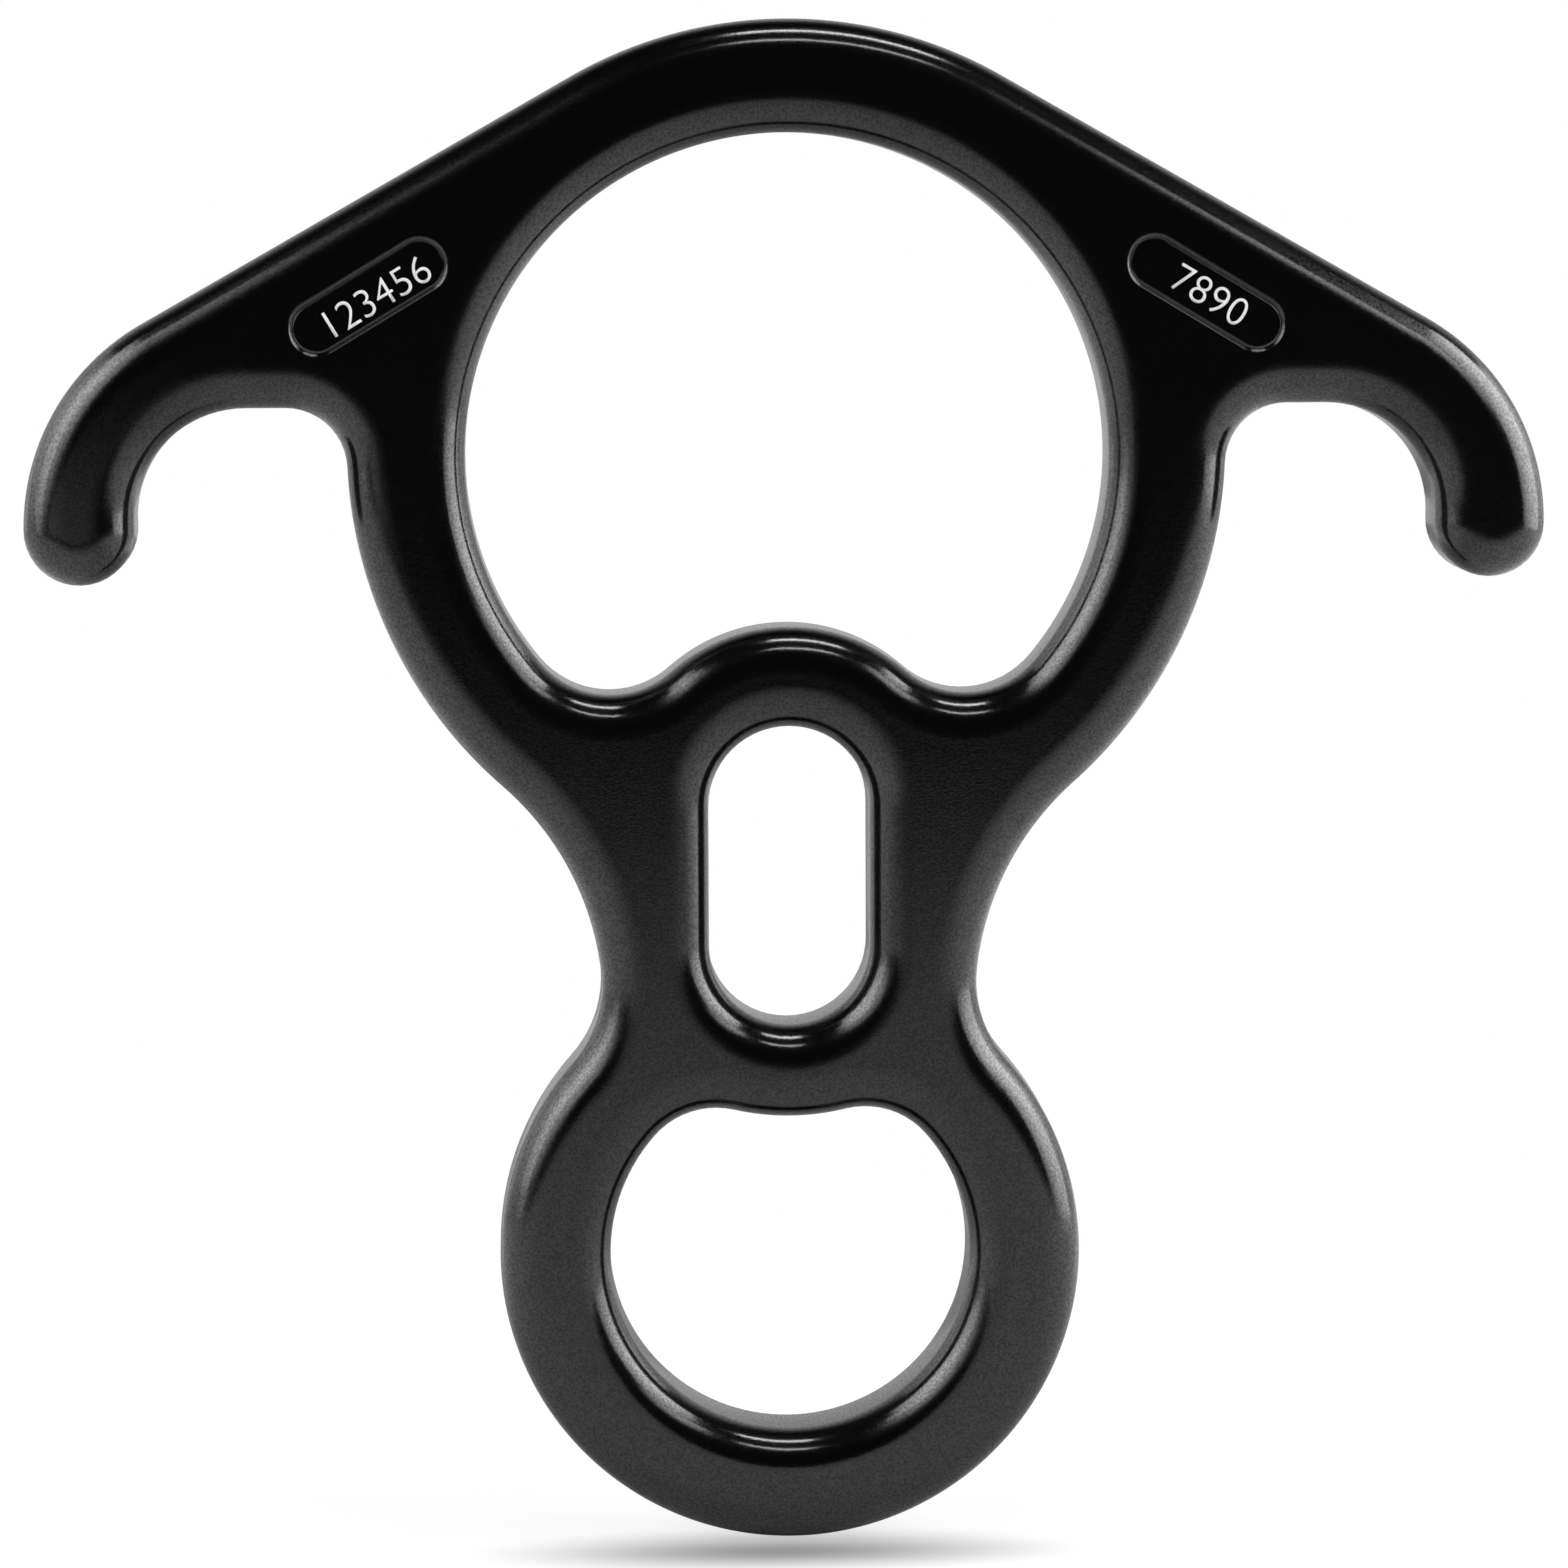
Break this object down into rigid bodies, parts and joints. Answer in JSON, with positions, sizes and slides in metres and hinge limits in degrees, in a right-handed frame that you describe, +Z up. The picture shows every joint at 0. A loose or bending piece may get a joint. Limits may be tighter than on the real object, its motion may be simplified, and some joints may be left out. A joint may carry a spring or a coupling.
{
  "type": "rappel descender",
  "caption": "Figure-eight rescue descender with down-turned ears: rope ring, rope slot and carabiner eye in one rounded plate.",
  "frame": {"origin": "crest of the rope ring's bore at mid-thickness, where the loaded rope or a gear hook bears", "axes": "+Z up towards the loaded rope, the carabiner eye at the bottom; +Y from the marked face to the plain face; +X to the right as the marked face is seen"},
  "size_m": [0.149, 0.013, 0.15],
  "materials": {
    "black_anodised_aluminium": "satin black hard anodising over a forged and tumbled aluminium alloy body",
    "white_marking": null
  },
  "bodies": {
    "root": {"forged_body": "black_anodised_aluminium"}
  },
  "joints": []
}
